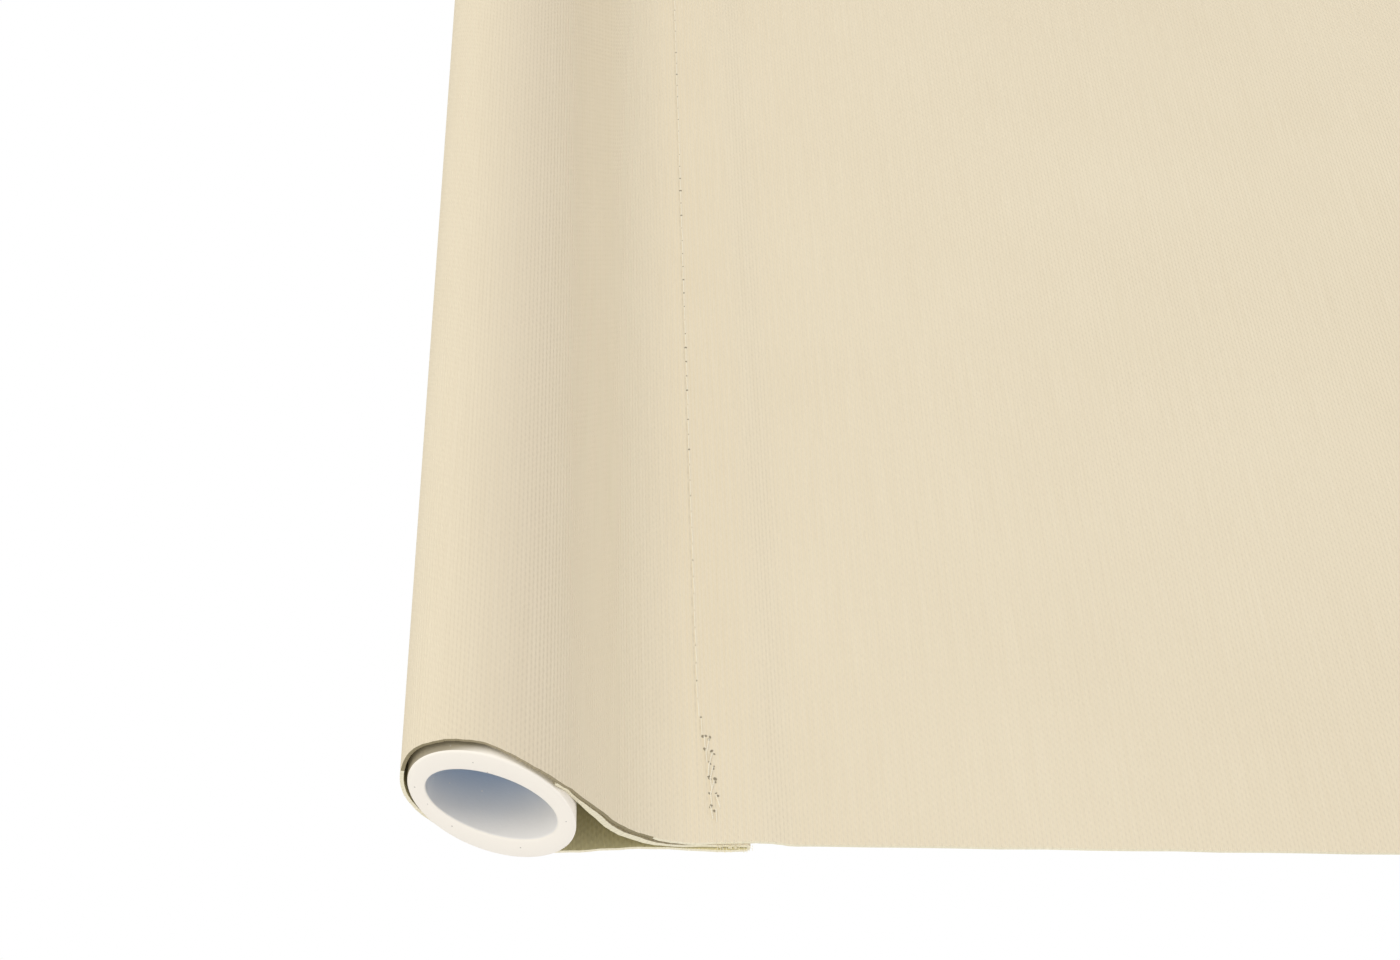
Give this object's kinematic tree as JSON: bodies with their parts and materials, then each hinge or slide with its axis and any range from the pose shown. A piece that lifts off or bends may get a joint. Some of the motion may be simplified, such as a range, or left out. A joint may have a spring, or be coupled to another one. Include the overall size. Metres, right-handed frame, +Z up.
{
  "type": "blackout roller blind",
  "caption": "Wall-hung blackout roller blind, part lowered: cream cloth wound on a spring roller, with a sewn hem pocket round a thick-walled white tube.",
  "frame": {"origin": "middle of the four bracket screw holes, on the wall plane", "axes": "+X along the blind's width, +Z up, +Y into the wall, so the room is on the -Y side"},
  "size_m": [0.6344, 0.0503, 0.3457],
  "materials": {
    "white_enamel": "white stoving enamel on pressed steel",
    "zinc_steel": "bright zinc plate on steel",
    "cast_zinc": "plain cast zinc",
    "grey_nylon": "moulded grey nylon",
    "spring_steel": "oiled spring steel wire",
    "roller_aluminium": "extruded aluminium",
    "clear_tape": "translucent adhesive tape",
    "blackout_cloth": "cream ribbed weave with a coated back",
    "white_pvc": "extruded white rigid PVC, sawn end"
  },
  "bodies": {
    "brackets": {"slot_bracket": "white_enamel", "pin_bracket": "white_enamel", "spindle": "zinc_steel", "ratchet_collar": "cast_zinc", "spring_hub": "grey_nylon"},
    "roller": {"roller_tube": "roller_aluminium", "spring_end_cap": "grey_nylon", "pin_end_cap": "grey_nylon", "gudgeon_pin": "zinc_steel", "pawl_rivet_upper": "zinc_steel", "pawl_rivet_lower": "zinc_steel", "torsion_spring": "spring_steel", "spring_anchor": "grey_nylon", "adhesive_tape": "clear_tape", "cloth_roll": "blackout_cloth"},
    "pawl_upper": {"pawl_upper": "zinc_steel"},
    "pawl_lower": {"pawl_lower": "zinc_steel"},
    "hem": {"cloth_hem": "blackout_cloth", "hem_tube": "white_pvc", "cloth_panel": "blackout_cloth"}
  },
  "joints": [
    {"name": "roller_turn", "type": "hinge", "parent": "brackets", "child": "roller", "pos_m": [0, -0.03, 0], "axis": [1, 0, 0], "range_deg": [-3240, 540], "deforming": ["torsion_spring"]},
    {"name": "hem_slide", "type": "slide", "parent": "brackets", "child": "hem", "axis": [0, 0, 1], "range_m": [-1.0184, 0.1701], "deforming": ["cloth_panel"]},
    {"name": "pawl_upper_swing", "type": "hinge", "parent": "roller", "child": "pawl_upper", "pos_m": [-0.3072, -0.03, 0.011], "axis": [1, 0, 0], "range_deg": [0, 38]},
    {"name": "pawl_lower_swing", "type": "hinge", "parent": "roller", "child": "pawl_lower", "pos_m": [-0.3072, -0.03, -0.011], "axis": [1, 0, 0], "range_deg": [0, 38]}
  ],
  "couplings": [
    {"joint": "hem_slide", "follows": "roller_turn", "m_per_rad": 0.018}
  ]
}
